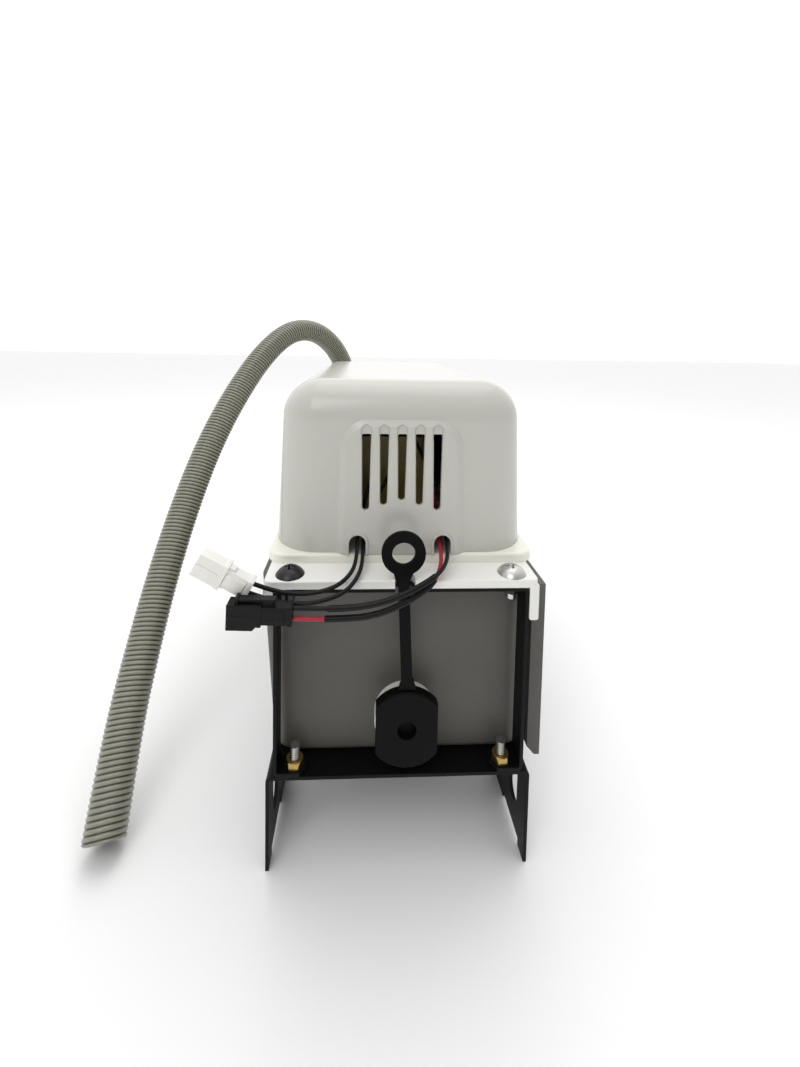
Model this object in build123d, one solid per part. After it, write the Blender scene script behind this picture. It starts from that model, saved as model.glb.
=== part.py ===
from build123d import *
import math
import os

# Small tank pump for condensate: a grey tank between two black sheet-steel saddles, a lid that
# carries a vertical motor under a white slotted cover, a shaft pump hanging into the tank, a
# float switch, a check valve with a spring hose, and two leads with small plug housings.
# Millimetres. +X right, +Y to the rear, +Z up. Z is 0 at the feet, and Y is 0 at mid length.

# General clearances
fit = 0.05            # radial running fit of shafts, rods and sliding pieces
gap = 0.3             # clearance between pieces of different bodies

# Lid
lid_length = 280.0
lid_thick = 3.4
lid_corner = 3.0
skirt_thick = 4.0
skirt_gap = 0.3       # between a skirt and the hoop inside it
skirt_drop = 14.2
notch_width = 8.6
notch_depth = 6.5
notch_x = 0.9

# Saddles, hoops and their fasteners
foot_height = 41.0
sheet = 1.5
saddle_spread = 3.1   # saddle's side beyond the hoop's
saddle_depth = 45.0
bend_radius = 2.2
leg_hole_width = 10.0
leg_hole_height = 22.0
leg_hole_y = 15.0     # from the front edge
leg_hole_z = 24.8
leg_notch_depth = 3.0
leg_notch_length = 22.0
leg_notch_y = 18.0
hoop_height = 82.3
hoop_width = 107.6
hoop_depth = 10.0
tab_length = 14.0
tab_chamfer = 3.0
bolt_inset = 8.6      # from the hoop's side
bolt_y = 4.5          # from the front edge
bolt_d = 4.0
bolt_head_d = 8.0
bolt_head_h = 2.6
bolt_top = 6.0        # thread above the nut
nut_flat = 7.0
nut_h = 3.2
lid_screw_inset = 5.8
lid_screw_y = 6.5     # from the front edge
truss_d = 12.4
truss_h = 3.6
lid_screw_tip = 3.0

# Tank
gasket_thick = 4.0
tank_wall = 2.5
tank_setback = 11.5   # tank's end wall behind the lid's edge
tank_left_top = 62.8
tank_left_bottom = 57.2
tank_right = 59.9
tank_corner = 12.0
tank_foot_radius = 3.2
tank_inner_radius = 1.6
rim_lip = 5.0
rim_lip_end = 1.5
plate_thick = 6.0
plate_margin = 0.5
plate_below = 4.0     # how far the plate hangs below the tank
plate_chamfer = 4.0
keyhole_d = 9.0
keyhole_slot = 4.6
keyhole_rise = 10.0
keyhole_pitch = 160.0

# Side port, its cap and strap
port_x = 2.9
port_z = 62.0
port_od = 27.6
port_bore = 19.0
port_neck = 24.0
cap_d = 34.0
cap_flats = 26.7
cap_thick = 4.5
cap_recess_d = 8.3
cap_recess = 3.0
plug_length = 9.0
strap_width = 4.7
strap_thick = 2.0
strap_back = 1.2      # strap's front face behind the cap's face
ring_od = 18.7
ring_hole = 9.8
ring_z = 139.1
ring_x = 0.1

# Motor base and cover
base_setback = 15.5
base_width = 122.2
base_thick = 4.0
base_shift = 0.9      # cover and base sit a little to the right
base_rear = 40.0      # rear ledge of the lid left free
base_corner = 8.0
base_lip = 5.0
cover_inset = 2.0
cover_height = 77.4
cover_wall = 2.2
cover_corner = 22.0
cover_edge = 18.5
draft = 2.2
panel_width = 58.7
panel_height = 60.5
panel_taper = 1.5     # degrees each side
panel_corner = 12.5
panel_raise = 2.2
panel_slope = 55.0    # degrees, of the shoulder round the panel
panel_soft = 1.4
slot_pitch = 8.08
slot_top_w = 4.06
slot_foot_w = 3.06
slot_top = 54.2       # above the cover's foot
slot_heights = [34.3, 32.0, 29.8]
groove_rise = 4.2
groove_cut = 1.1
slot_soft = 0.55      # bevel round slots and grooves
arch_x = 19.2
arch_mid = -0.4
arch_width = 7.5
arch_height = 8.8
arch_rim = 1.7
arch_rim_raise = 0.8

# Motor, shaft and pump
motor_y = -20.0
column_od = 24.0
column_bore = 18.0
column_flange_d = 72.0
column_screw_d = 3.0
column_screw_ring = 64.0
column_flange = 4.0
bell_thick = 6.0
can_d = 54.0
can_height = 42.0
can_wall = 2.0
magnet_thick = 5.0
armature_d = 34.0
armature_height = 26.0
shaft_d = 6.0
bearing_d = 12.0
bearing_h = 6.0
fan_d = 62.0
fan_h = 7.0
fan_blades = 7
volute_d = 56.0
volute_h = 14.0
volute_z = 50.0
volute_wall = 2.5
impeller_d = 40.0
impeller_h = 8.0
impeller_vanes = 6
strainer_thick = 2.5
strainer_inlet = 16.0
pipe_od = 12.0
pipe_bore = 8.0

# Check valve, barb, hose and inlet
valve_x = -32.0
valve_inset = 22.0    # from the lid's rear edge
valve_flat = 20.0
valve_height = 20.0
valve_bore = 10.0
ball_d = 8.0
ball_travel = 4.0
seat_bore = 6.0
barb_height = 24.0
barb_core = 13.0
barb_bore = 8.0
hose_od = 18.0
hose_bore = 14.0
clamp_width = 9.0
clamp_thick = 0.9
inlet_x = 32.0
inlet_bore = 13.0
inlet_wall = 2.2
inlet_rise = 9.0
inlet_flange_d = 23.0
inlet_flange = 2.5

# Float and its switches
float_x = -6.0
float_inset = 54.0    # from the lid's front edge
float_size = (46.0, 34.0, 18.0)
float_z = 66.0
rod_d = 4.0
rod_top = 152.0
guide_od = 10.0
magnet_d = 9.0
magnet_h = 6.0
board_size = (40.0, 1.6, 46.0)
board_gap = 10.0      # board's rear face in front of the rod's axis
board_seat = 2.0      # in the bracket
bracket_margin = 3.0
bracket_h = 6.0
reed_d = 2.6
reed_length = 14.0
reed_steps = (6.0, 15.0)   # above the magnet at rest
guide_below = 4.0
guide_flange = 2.0
guide_flange_d = 15.0

# Leads
wire_d = 1.75
sleeve_d = 2.5
way_pitch = 4.2       # between a housing's two wires
entry_depth = 2.5
# Housings: length, height at the mouth, mouth's depth, height at the tail, tail's length, thickness
white_size = (24.0, 9.4, 8.5, 7.5, 11.6, 6.6)
black_size = (25.0, 10.0, 9.0, 7.0, 13.2, 6.6)
white_tilt = 29.3
black_tilt = 2.0
latch_gap = 0.4
latch_thick = 1.2
latch_width = 3.2

# Levels and edges that follow from the sizes above
z_saddle = foot_height + sheet
z_lid = z_saddle + hoop_height
z_rim = z_lid - gasket_thick
z_top = z_lid + lid_thick
z_base = z_top + base_thick
lid_width = hoop_width + 2 * (skirt_thick + skirt_gap)
saddle_width = hoop_width + 2 * saddle_spread
bolt_x = hoop_width / 2 - bolt_inset
lid_screw_x = hoop_width / 2 - lid_screw_inset
front = -lid_length / 2
rear = lid_length / 2
valve_y = rear - valve_inset
float_y = front + float_inset
tank_front = front + tank_setback
tank_rear = -tank_front
tank_floor = z_saddle + tank_wall
cover_front = front + base_setback + cover_inset
cover_rear = rear - base_rear - cover_inset
cover_width = base_width - 2 * (cover_inset - 0.6)
cover_length = cover_rear - cover_front
cover_mid = (cover_front + cover_rear) / 2
z_can = z_base + column_flange + bell_thick
z_bell = z_can + can_height
side_shift = (tank_right + plate_thick - tank_left_top) / 2


def block(x0, x1, y0, y1, z0, z1):
    """A box between two corners."""
    centre = ((x0 + x1) / 2, (y0 + y1) / 2, (z0 + z1) / 2)
    return Pos(*centre) * Box(x1 - x0, y1 - y0, z1 - z0)


def rod(x, y, z0, z1, d):
    """An upright cylinder."""
    return Pos(x, y, (z0 + z1) / 2) * Cylinder(d / 2, z1 - z0)


def tube(x, y, z0, z1, od, bore):
    """An upright tube."""
    return rod(x, y, z0, z1, od) - rod(x, y, z0 - 1, z1 + 1, bore)


def level(z):
    return Plane.XY.offset(z)


def facing(y):
    """A plane seen from the front: its x is X and its y is Z, and it grows to the front."""
    return Plane(origin=(0, y, 0), x_dir=(1, 0, 0), z_dir=(0, -1, 0))


def to_rear(shape):
    """The same piece at the rear end."""
    return mirror(shape, about=Plane.XZ)


def hexagon(x, y, z0, flat, height, turn=0):
    shape = extrude(RegularPolygon(flat / 2, 6, major_radius=False), height)
    return Pos(x, y, z0) * Rot(0, 0, turn) * shape


def saddle():
    """Sheet-steel U with its legs down, an oval hole and a foot notch in each leg."""
    half = saddle_width / 2
    outer = block(-half, half, front, front + saddle_depth, 0, z_saddle)
    outer = fillet(outer.edges().filter_by(Axis.Y).group_by(Axis.Z)[-1], bend_radius)
    inner = block(-half + sheet, half - sheet, front - 1, front + saddle_depth + 1, -1, foot_height)
    inner = fillet(inner.edges().filter_by(Axis.Y).group_by(Axis.Z)[-1], bend_radius - sheet)
    side = Plane(origin=(0, front + leg_hole_y, leg_hole_z), x_dir=(0, 1, 0), z_dir=(1, 0, 0))
    oval = side * SlotOverall(leg_hole_height, leg_hole_width, rotation=90)
    holes = extrude(oval, saddle_width, both=True)
    mid = front + leg_notch_y
    notch = block(-half - 1, half + 1, mid - leg_notch_length / 2, mid + leg_notch_length / 2,
                  -1, leg_notch_depth)
    shape = outer - inner - holes - notch
    for x in (-bolt_x, bolt_x):
        shape -= rod(x, front + bolt_y, foot_height - 1, z_saddle + 1, bolt_d + 2 * fit)
    return shape


def hoop():
    """Strip bent to an upside-down U, with its feet turned inward and bolted to the saddle."""
    half = hoop_width / 2
    back = front + hoop_depth
    outer = block(-half, half, front, back, z_saddle, z_lid)
    outer = fillet(outer.edges().filter_by(Axis.Y), bend_radius)
    inner = block(-half + sheet, half - sheet, front - 1, back + 1, z_saddle + sheet, z_lid - sheet)
    inner = fillet(inner.edges().filter_by(Axis.Y), bend_radius - sheet)
    open_foot = block(-half + tab_length, half - tab_length, front - 1, back + 1,
                      z_saddle - 1, z_saddle + sheet + 1)
    shape = outer - inner - open_foot
    tips = shape.edges().filter_by(Axis.Z).filter_by(lambda e: abs(e.center().X) < half - tab_length + 0.1)
    shape = chamfer(tips, tab_chamfer)
    shape -= block(notch_x - notch_width / 2, notch_x + notch_width / 2, front - 1,
                   front + strap_back + strap_thick + 1.2, z_lid - sheet - 1, z_lid + 1)
    for x in (-bolt_x, bolt_x):
        shape -= rod(x, front + bolt_y, z_saddle - 1, z_saddle + sheet + 1, bolt_d + 2 * fit)
    for x in (-lid_screw_x, lid_screw_x):
        shape -= rod(x, front + lid_screw_y, z_lid - sheet - 1, z_lid + 1, bolt_d + 2 * fit)
    return shape


def cross_recess(z, size, depth):
    """The tapered cross driven by a screwdriver, cut down from z."""
    bar = Rectangle(size, size * 0.22) + Rectangle(size * 0.22, size)
    tip = scale(bar, 0.35)
    return loft([level(z) * bar, level(z - depth) * tip])


def domed_screw(head_d, head_h, shank, shank_d=bolt_d):
    """A screw with a low domed head and a cross recess; z is 0 under the head."""
    radius = (head_d ** 2 / 4 + head_h ** 2) / (2 * head_h)
    ball = Pos(0, 0, head_h - radius) * Sphere(radius)
    head = ball & Pos(0, 0, head_h) * Cylinder(head_d / 2, 2 * head_h)
    shape = head + rod(0, 0, -shank, 0.2, shank_d)
    return shape - cross_recess(head_h + 0.1, head_d * 0.5, head_h * 0.62)


def saddle_bolts():
    """Pan-head bolts, up through saddle and hoop tab."""
    shank = sheet * 2 + nut_h + bolt_top
    bolt = Pos(0, 0, foot_height) * Rot(180, 0, 0) * domed_screw(bolt_head_d, bolt_head_h, shank)
    pair = [Pos(x, front + bolt_y, 0) * bolt for x in (-bolt_x, bolt_x)]
    return pair + [to_rear(b) for b in pair]


def nut(x, y, z0, flat, turn=0):
    shape = hexagon(x, y, z0, flat, nut_h, turn)
    dome = Pos(x, y, z0 + nut_h / 2) * Cone(flat * 0.66, flat * 0.5, nut_h)
    return (shape & dome) - rod(x, y, z0 - 1, z0 + nut_h + 1, bolt_d + 2 * fit)


def saddle_nuts():
    pair = [nut(x, front + bolt_y, z_saddle + sheet, nut_flat, 12 * x) for x in (-bolt_x, bolt_x)]
    return pair + [to_rear(n) for n in pair]


def lid_screws(corners):
    """Truss-head screws down through the lid and the hoop's strip."""
    shank = lid_thick + sheet + nut_h + lid_screw_tip
    screw = domed_screw(truss_d, truss_h, shank)
    return [Pos(sx * lid_screw_x, sy * (rear - lid_screw_y), z_top) * screw for sx, sy in corners]


def lid_nuts():
    z0 = z_lid - sheet - nut_h
    pair = [nut(x, front + lid_screw_y, z0, nut_flat, 30) for x in (-lid_screw_x, lid_screw_x)]
    return pair + [to_rear(n) for n in pair]


def tank_form(inset, z0, z1, foot):
    """The tank's outline between two heights, set in by a wall; only its left side is drafted."""
    sections = []
    for z in (z0, z1):
        share = (z - z_saddle) / (z_rim - z_saddle)
        left = tank_left_bottom + share * (tank_left_top - tank_left_bottom) - inset
        right = tank_right - inset
        depth = tank_rear - tank_front - 2 * inset
        outline = RectangleRounded(left + right, depth, tank_corner - inset)
        sections.append(level(z) * Pos((right - left) / 2, 0) * outline)
    shape = loft(sections)
    return fillet(shape.edges().group_by(Axis.Z)[0], foot)


def tank():
    """Open box with an inward rim lip for the gasket and a round port in the front wall."""
    shape = tank_form(0, z_saddle, z_rim, tank_foot_radius)
    shape -= tank_form(tank_wall, tank_floor, z_rim - tank_wall, tank_inner_radius)
    mouth = RectangleRounded(lid_width - 2 * rim_lip, tank_rear - tank_front - 2 * rim_lip_end - 2 * tank_wall,
                             tank_corner - tank_wall)
    shape -= extrude(level(z_rim - 2 * tank_wall) * mouth, 4 * tank_wall)
    port = Cylinder(port_neck / 2 + fit, 4 * tank_wall)
    return shape - Pos(port_x, tank_front, port_z) * Rot(90, 0, 0) * port


def wall_plate():
    """Flat hanging plate on the tank's right side, with two keyholes."""
    y1 = tank_rear - plate_margin
    z0 = z_saddle - plate_below
    z1 = z_rim - 2 * plate_margin
    shape = block(tank_right, tank_right + plate_thick, -y1, y1, z0, z1)
    foot = shape.edges().filter_by(Axis.Y).group_by(Axis.Z)[0].sort_by(Axis.X)[0]
    shape = chamfer(foot, plate_chamfer, plate_chamfer * 0.9)
    side = Plane(origin=(tank_right - 1, 0, (z0 + z1) / 2 + keyhole_rise), x_dir=(0, 1, 0), z_dir=(1, 0, 0))
    for y in (-keyhole_pitch / 2, keyhole_pitch / 2):
        hole = Pos(y, 0) * Circle(keyhole_d / 2)
        hole += Pos(y, keyhole_d / 2) * SlotCenterToCenter(keyhole_d, keyhole_slot, rotation=90)
        shape -= extrude(side * hole, plate_thick + 2)
    return shape


def port_at(y0, y1, d):
    """A cylinder on the side port's axis."""
    return Pos(port_x, (y0 + y1) / 2, port_z) * Rot(90, 0, 0) * Cylinder(d / 2, y1 - y0)


def tank_port():
    """Cream spigot pushed through the front wall, with a collar inside."""
    y0 = front + cap_thick
    shape = port_at(y0, tank_front, port_od)
    shape = fillet(shape.edges().filter_by(GeomType.CIRCLE).group_by(Axis.Y)[0], 0.8)
    shape += port_at(tank_front - 0.5, tank_front + tank_wall, port_neck)
    shape += port_at(tank_front + tank_wall, tank_front + tank_wall + 2.0, port_od - 1.0)
    return shape - port_at(y0 - 1, tank_front + tank_wall + 5, port_bore)


def port_cap():
    """Rubber stopper: a disc with two flats, a round recess, and a ribbed plug behind."""
    outline = Circle(cap_d / 2) & Rectangle(cap_flats, 2 * cap_d)
    disc = extrude(facing(front + cap_thick) * Pos(port_x, port_z) * outline, cap_thick)
    disc = fillet(disc.edges().group_by(Axis.Y)[0], 0.8)
    y0 = front + cap_thick
    plug = port_at(y0, y0 + plug_length, port_bore - 4 * fit - 1.0)
    for n in range(3):
        start = y0 + 1.0 + n * plug_length / 3
        plug += port_at(start, start + 1.2, port_bore - 2 * fit)
    return disc + plug - port_at(front - 1, front + cap_recess, cap_recess_d)


def cap_strap():
    """Ring and strap of the cap's moulding, up through the notch in the lid."""
    y0 = front + strap_back
    cap_top = port_z + cap_d / 2
    ring_foot = ring_z - ring_od / 2
    web = Polygon((port_x - strap_width / 2, cap_top - 3), (port_x + strap_width / 2, cap_top - 3),
                  (ring_x + strap_width / 2, ring_foot + 3), (ring_x - strap_width / 2, ring_foot + 3),
                  align=None)
    neck = Polygon((ring_x - strap_width / 2, ring_foot - 3.5), (ring_x + strap_width / 2, ring_foot - 3.5),
                   (ring_x + strap_width, ring_foot + 2.2), (ring_x - strap_width, ring_foot + 2.2),
                   align=None)
    foot = Polygon((port_x - strap_width, cap_top - 2.0), (port_x + strap_width, cap_top - 2.0),
                   (port_x + strap_width / 2, cap_top + 4.5), (port_x - strap_width / 2, cap_top + 4.5),
                   align=None)
    outline = web + neck + foot + Pos(ring_x, ring_z) * Circle(ring_od / 2)
    outline -= Pos(ring_x, ring_z) * Circle(ring_hole / 2)
    shape = extrude(facing(y0 + strap_thick) * outline, strap_thick)
    return shape - port_at(front - 1, front + cap_thick + 1, cap_d + 2 * gap)


def lid():
    """Plate with four down-turned skirts round the hoops, a strap notch, and the pump's openings."""
    half = lid_width / 2
    plate = extrude(level(z_lid) * RectangleRounded(lid_width, lid_length, lid_corner), lid_thick)
    plate = fillet(plate.edges().group_by(Axis.Z)[-1], 0.7)
    for side in (-1, 1):
        inner, outer = side * (half - skirt_thick), side * half
        x0, x1 = min(inner, outer), max(inner, outer)
        skirt = block(x0, x1, front, tank_front - gap, z_lid - skirt_drop, z_lid + 1)
        skirt = fillet(skirt.edges().filter_by(Axis.Y).group_by(Axis.Z)[0], 1.0)
        plate += skirt
        plate += to_rear(skirt)
    slot = extrude(level(z_lid - 1) * Pos(notch_x, front) * RectangleRounded(notch_width, 2 * notch_depth, 3),
                   lid_thick + 2)
    plate -= slot
    for x in (-lid_screw_x, lid_screw_x):
        for y in (front + lid_screw_y, rear - lid_screw_y):
            plate -= rod(x, y, z_lid - 1, z_top + 1, bolt_d + 2 * fit)
    plate -= rod(0, motor_y, z_lid - 1, z_top + 1, column_od + 2 * gap)
    plate -= rod(float_x, float_y, z_lid - 1, z_top + 1, guide_od)
    plate -= rod(valve_x, valve_y, z_lid - 1, z_top + 1, pipe_od + 2 * fit)
    for x, y in base_screw_places():
        plate -= rod(x, y, z_lid - 1, z_top + 1, bolt_d + 2 * fit)
    return plate - rod(inlet_x, valve_y, z_lid - 1, z_top + 1, inlet_bore + 2 * inlet_wall + 2 * fit)


def inlet_fitting():
    """Flanged spigot through the lid for the condensate line."""
    shape = rod(inlet_x, valve_y, z_lid, z_top + inlet_rise, inlet_bore + 2 * inlet_wall)
    shape += rod(inlet_x, valve_y, z_top, z_top + inlet_flange, inlet_flange_d)
    return shape - rod(inlet_x, valve_y, z_lid - 1, z_top + inlet_rise + 1, inlet_bore)


def lid_gasket():
    """Foam frame between the tank's rim and the lid."""
    depth = tank_rear - tank_front - 2 * gap
    outer = RectangleRounded(lid_width - 2.0, depth, tank_corner - tank_wall)
    inner = RectangleRounded(lid_width - 2 * rim_lip, depth - 2 * rim_lip_end - 2 * tank_wall,
                             tank_corner - tank_wall - 3)
    return extrude(level(z_rim) * (outer - inner), gasket_thick)


def motor_base():
    """Flange under the cover, with a locating lip inside it."""
    y0, y1 = front + base_setback, rear - base_rear
    mid, length = (y0 + y1) / 2, y1 - y0
    shape = extrude(level(z_top) * Pos(base_shift, mid) * RectangleRounded(base_width, length, base_corner), base_thick)
    shape = fillet(shape.edges().group_by(Axis.Z)[-1], 1.2)
    inner_w = cover_width - 2 * (cover_wall + gap)
    inner_l = cover_length - 2 * (cover_wall + gap)
    ring = RectangleRounded(inner_w - 1.0, inner_l - 1.0, cover_corner - cover_wall - 1)
    ring -= RectangleRounded(inner_w - 5.0, inner_l - 5.0, cover_corner - cover_wall - 3)
    lip = extrude(level(z_base - 0.5) * Pos(base_shift, cover_mid) * ring, base_lip)
    for x in arch_places():
        lip -= block(x - arch_width, x + arch_width, cover_front, cover_front + 12, z_base, z_base + 10)
    shape += lip
    shape -= rod(0, motor_y, z_top - 1, z_base + 1, column_od + 2 * gap)
    shape -= rod(float_x, float_y, z_top - 1, z_base + 1, guide_od)
    for x, y in base_screw_places():
        shape -= rod(x, y, z_top - 1, z_base + 1, bolt_d + 2 * fit)
    for x, y in column_screw_places():
        shape -= rod(x, y, z_base - column_screw_d - fit, z_base + 1, column_screw_d + 2 * fit)
    return shape


def base_screw_places():
    inset_x = cover_width / 2 - cover_corner
    return [(base_shift + sx * inset_x, cover_mid + sy * (cover_length / 2 - cover_corner))
            for sx in (-1, 1) for sy in (-1, 1)]


def base_screws():
    """Screws that hold the base to the lid, inside the cover."""
    screw = domed_screw(bolt_head_d, bolt_head_h, base_thick + lid_thick)
    return [Pos(x, y, z_base) * screw for x, y in base_screw_places()]


def dome(inset):
    """The cover's drafted, round-topped form, set in by a wall."""
    outline = RectangleRounded(cover_width - 2 * inset, cover_length - 2 * inset, cover_corner - inset)
    shape = extrude(level(z_base) * Pos(base_shift, cover_mid) * outline, cover_height - inset, taper=draft)
    return fillet(shape.edges().group_by(Axis.Z)[-1], cover_edge - inset)


def cover_face(inset):
    """Plane in the cover's leaning front face: x is X, y runs up the face, and it grows outward."""
    slope = math.radians(draft)
    origin = (0, cover_front + inset, z_base)
    return Plane(origin=origin, x_dir=(1, 0, 0), z_dir=(0, -math.cos(slope), math.sin(slope)))


def panel_outline(inset, below):
    """Arched panel: straight drafted sides and round upper corners."""
    half = panel_width / 2 - inset
    top = panel_height - inset
    narrow = (top + below) * math.tan(math.radians(panel_taper))
    outline = Polygon((-half, -below), (half, -below), (half - narrow, top), (-half + narrow, top), align=None)
    return fillet(outline.vertices().group_by(Axis.Y)[-1], panel_corner - inset)


def slot_outline(height):
    """Slot that narrows downward, with a round foot and softly rounded top corners."""
    top, foot = slot_top_w / 2, slot_foot_w / 2
    low = slot_top - height + foot
    body = Polygon((-foot, low), (foot, low), (top, slot_top), (-top, slot_top), align=None)
    body = fillet(body.vertices().group_by(Axis.Y)[-1], 0.7)
    return body + Pos(0, low) * Circle(foot)


def arch_places():
    return [arch_mid - arch_x, arch_mid + arch_x]


def arch_outline(x, margin):
    """Round-topped doorway for two wires, or its rim when a margin is given."""
    width = arch_width + 2 * margin
    low = arch_height - arch_width / 2
    return Pos(x, low / 2 - 1) * Rectangle(width, low + 2) + Pos(x, low) * Circle(width / 2)


def motor_cover():
    """Thin moulded hood with a raised, slotted panel and two wire arches on its front."""
    face = cover_face(0)
    panel = extrude(face * panel_outline(0, 3), panel_raise, taper=panel_slope)
    brim = panel.faces().sort_by(Axis.Y)[0].edges().sort_by(Axis.Z)[1:]
    panel = fillet(brim, panel_soft)
    core = extrude(face * panel_outline(0, 3), -cover_wall)
    shape = dome(0) + panel + core
    for x in arch_places():
        shape += extrude(face * arch_outline(x, arch_rim), panel_raise + arch_rim_raise, taper=12)
    shape -= block(-cover_width, cover_width, front - 5, cover_front + 20, z_base - 10, z_base)
    hollow = dome(cover_wall)
    hollow += extrude(face * Pos(0, 0, -cover_wall - 1) * panel_outline(cover_wall, 3), panel_raise + 1)
    hollow -= block(-cover_width, cover_width, front - 5, cover_front + 20, z_base - 10, z_base - 1)
    shape -= hollow
    for n in range(5):
        x = (n - 2) * slot_pitch
        height = slot_heights[2 - abs(n - 2)]
        opening = Pos(x, 0) * slot_outline(height)
        shape -= extrude(face * Pos(0, 0, -8) * opening, 14)
        shape -= extrude(face * Pos(0, 0, panel_raise - slot_soft) * opening, 2 * slot_soft, taper=-45)
        groove = Pos(x, slot_top) * SlotOverall(2 * groove_rise, slot_top_w + 0.3, rotation=90)
        shape -= extrude(face * Pos(0, 0, panel_raise - groove_cut) * groove, 5)
        shape -= extrude(face * Pos(0, 0, panel_raise - slot_soft) * groove, 2 * slot_soft, taper=-45)
    for x in arch_places():
        shape -= extrude(face * Pos(0, 0, -8) * arch_outline(x, 0), 14)
    return shape


def pump_column():
    """Tube that hangs the pump from the base, with a round flange that carries the motor."""
    shape = tube(0, motor_y, volute_z + volute_h, z_base + 1, column_od, column_bore)
    shape += rod(0, motor_y, z_base, z_base + column_flange, column_flange_d)
    shape -= rod(0, motor_y, z_base - 1, z_base + column_flange + 1, column_bore)
    for x, y in column_screw_places():
        shape -= rod(x, y, z_base - 1, z_base + column_flange + 1, column_screw_d + 2 * fit)
    return shape


def column_screw_places():
    angles = [math.radians(60 + 120 * n) for n in range(3)]
    ring = column_screw_ring / 2
    return [(ring * math.cos(a), motor_y + ring * math.sin(a)) for a in angles]


def end_bell(z0, rounded):
    """Pressed end of the motor with a boss for its bearing."""
    shape = rod(0, motor_y, z0, z0 + bell_thick, can_d)
    if rounded:
        shape = fillet(shape.edges().group_by(Axis.Z)[-1], 3)
    for n in range(4):
        angle = math.radians(45 + 90 * n)
        x, y = 0.36 * can_d * math.cos(angle), 0.36 * can_d * math.sin(angle)
        shape -= rod(x, motor_y + y, z0 - 1, z0 + bell_thick + 1, 7.0)
    return shape - rod(0, motor_y, z0 - 1, z0 + bell_thick + 1, bearing_d)


def motor_can():
    return tube(0, motor_y, z_can, z_bell, can_d, can_d - 2 * can_wall)


def field_magnets():
    """Two curved magnets against the can's wall."""
    ring = tube(0, motor_y, z_can + 5, z_bell - 5, can_d - 2 * can_wall, can_d - 2 * can_wall - 2 * magnet_thick)
    cut = block(-can_d, can_d, motor_y - 8, motor_y + 8, z_can, z_bell)
    return (ring - cut).solids()


def bearing(z0):
    """Sintered bush pressed in the bell's boss."""
    return tube(0, motor_y, z0, z0 + bearing_h, bearing_d, shaft_d + 2 * fit)


def motor_shaft():
    top = z_bell + bell_thick + fan_h + 4
    shape = rod(0, motor_y, volute_z + volute_wall, top, shaft_d)
    return chamfer(shape.edges().filter_by(GeomType.CIRCLE), 0.5)


def armature():
    """Laminated core with winding slots, and a commutator above it."""
    mid = (z_can + z_bell) / 2
    z0, z1 = mid - armature_height / 2, mid + armature_height / 2
    shape = rod(0, motor_y, z0, z1, armature_d)
    for n in range(7):
        angle = n * 360 / 7
        slot = Rot(0, 0, angle) * Pos(armature_d / 2 - 3, 0, mid) * Box(8, 2.4, armature_height + 2)
        shape -= Pos(0, motor_y, 0) * slot
    shape += rod(0, motor_y, z0 - 1.5, z1 + 2, armature_d * 0.5)
    return shape - rod(0, motor_y, z0 - 5, z1 + 5, shaft_d)


def cooling_fan():
    """Small paddle fan on top of the shaft."""
    z0 = z_bell + bell_thick + 1
    shape = rod(0, motor_y, z0, z0 + fan_h, 14)
    shape += rod(0, motor_y, z0, z0 + 1.4, fan_d * 0.55)
    for n in range(fan_blades):
        blade = Pos(fan_d / 4 + 2, 0, z0 + fan_h / 2) * Box(fan_d / 2 - 4, 1.6, fan_h)
        shape += Pos(0, motor_y, 0) * Rot(0, 0, n * 360 / fan_blades) * blade
    return shape - rod(0, motor_y, z0 - 1, z0 + fan_h + 1, shaft_d)


def impeller():
    """Disc with straight radial vanes below it and a hub on the shaft."""
    z0 = volute_z + volute_wall + 0.5
    shape = rod(0, motor_y, z0 + impeller_h - 1.6, z0 + impeller_h, impeller_d)
    shape += rod(0, motor_y, z0, z0 + impeller_h, 11)
    for n in range(impeller_vanes):
        vane = Pos(impeller_d / 4 + 1, 0, z0 + impeller_h / 2) * Box(impeller_d / 2 - 3, 1.6, impeller_h)
        shape += Pos(0, motor_y, 0) * Rot(0, 0, n * 360 / impeller_vanes) * vane
    return shape - rod(0, motor_y, z0 - 1, z0 + impeller_h + 1, shaft_d)


def volute():
    """Pump case: a cup over the impeller with an outlet stub to the rear."""
    z0, z1 = volute_z, volute_z + volute_h
    shape = rod(0, motor_y, z0, z1, volute_d)
    shape = fillet(shape.edges().group_by(Axis.Z)[-1], 2.5)
    stub_end = motor_y + volute_d / 2 + 12
    axis_z = z0 + volute_h / 2
    stub = Pos(0, (motor_y + stub_end) / 2, axis_z) * Rot(90, 0, 0) * Cylinder(pipe_od / 2, stub_end - motor_y)
    bore = Pos(0, (motor_y + stub_end) / 2, axis_z) * Rot(90, 0, 0) * Cylinder(pipe_bore / 2, stub_end - motor_y + 2)
    shape += stub
    shape -= rod(0, motor_y, z0 - 1, z1 - volute_wall, impeller_d + 6)
    shape -= rod(0, motor_y, z0 - 1, z1 + 1, shaft_d + 4)
    shape -= bore & block(-20, 20, motor_y, stub_end + 5, z0, z1)
    return shape


def strainer():
    """Plate that closes the pump case, with the inlet hole and three feet on the tank's floor."""
    z1 = volute_z
    shape = rod(0, motor_y, z1 - strainer_thick, z1, volute_d)
    shape -= rod(0, motor_y, z1 - strainer_thick - 1, z1 + 1, strainer_inlet)
    for n in range(3):
        angle = math.radians(90 + 120 * n)
        x, y = 0.4 * volute_d * math.cos(angle), 0.4 * volute_d * math.sin(angle)
        shape += rod(x, motor_y + y, tank_floor, z1 - strainer_thick, 6)
    return shape


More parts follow.
